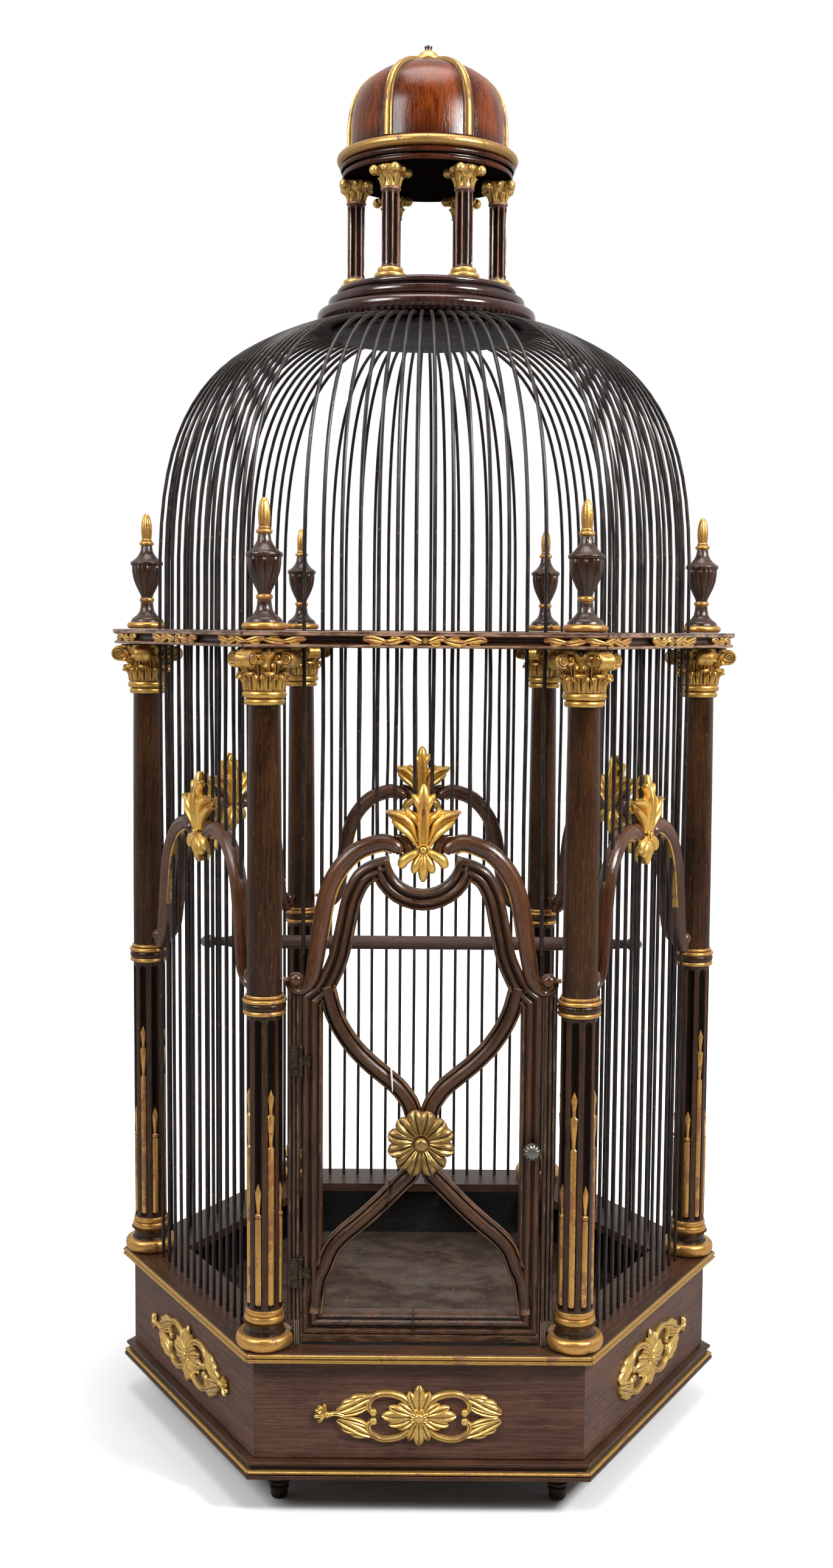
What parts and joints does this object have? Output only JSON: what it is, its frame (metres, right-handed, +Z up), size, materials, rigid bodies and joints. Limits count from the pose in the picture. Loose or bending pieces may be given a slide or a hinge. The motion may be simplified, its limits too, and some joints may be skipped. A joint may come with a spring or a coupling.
{
  "type": "wooden birdcage",
  "caption": "Hexagonal wooden birdcage with turned columns, wire sides, a wire dome, a columned lantern and a glazed door.",
  "frame": {"origin": "on the floor, under the middle of the cage", "axes": "+Z up along the cage's axis, +X to the right as seen from the front, and the door faces -Y"},
  "size_m": [0.6118, 0.5376, 1.3261],
  "materials": {
    "walnut": "old dark polish, semi-gloss",
    "mahogany": "red-brown polish, gloss",
    "floor_wood": "scuffed, matt",
    "gilding": "worn gilding on carved wood",
    "wire_iron": "dark varnish",
    "pewter": "tarnished",
    "old_brass": "dull",
    "glass": "clear, a little dusty"
  },
  "bodies": {
    "cage": {"plinth": "walnut", "base_box": "walnut", "floor_board": "floor_wood", "base_top": "walnut", "cornice": "walnut", "door_post_left": "walnut", "door_post_right": "walnut", "hinge_lower": "old_brass", "hinge_upper": "old_brass", "perch": "walnut", "dome_collar": "mahogany", "collar_disc": "walnut", "cupola": "mahogany", "finial": "gilding", "ornament_front": "gilding", "arch_front": "walnut", "wires_front": "wire_iron", "ornament_front_right": "gilding", "arch_front_right": "walnut", "wires_front_right": "wire_iron", "ornament_back_right": "gilding", "arch_back_right": "walnut", "wires_back_right": "wire_iron", "ornament_back": "gilding", "arch_back": "walnut", "wires_back": "wire_iron", "ornament_back_left": "gilding", "arch_back_left": "walnut", "wires_back_left": "wire_iron", "ornament_front_left": "gilding", "arch_front_left": "walnut", "wires_front_left": "wire_iron", "column_front_right": "walnut", "capital_front_right": "gilding", "urn_front_right": "walnut", "lantern_column_front_right": "mahogany", "column_right": "walnut", "capital_right": "gilding", "urn_right": "walnut", "lantern_column_right": "mahogany", "column_back_right": "walnut", "capital_back_right": "gilding", "urn_back_right": "walnut", "lantern_column_back_right": "mahogany", "column_back_left": "walnut", "capital_back_left": "gilding", "urn_back_left": "walnut", "lantern_column_back_left": "mahogany", "column_left": "walnut", "capital_left": "gilding", "urn_left": "walnut", "lantern_column_left": "mahogany", "column_front_left": "walnut", "capital_front_left": "gilding", "urn_front_left": "walnut", "lantern_column_front_left": "mahogany"},
    "door": {"door_frame": "walnut", "door_glass": "glass", "door_rosette": "gilding"},
    "latch": {"door_knob": "pewter"}
  },
  "joints": [
    {"name": "door_hinge", "type": "hinge", "parent": "cage", "child": "door", "pos_m": [-0.10425, -0.24225, 0.3], "axis": [0, 0, -1], "range_deg": [0, 110]},
    {"name": "latch_turn", "type": "hinge", "parent": "door", "child": "latch", "pos_m": [0.0954, -0.24, 0.3275], "axis": [0, -1, 0], "range_deg": [0, 90]}
  ]
}
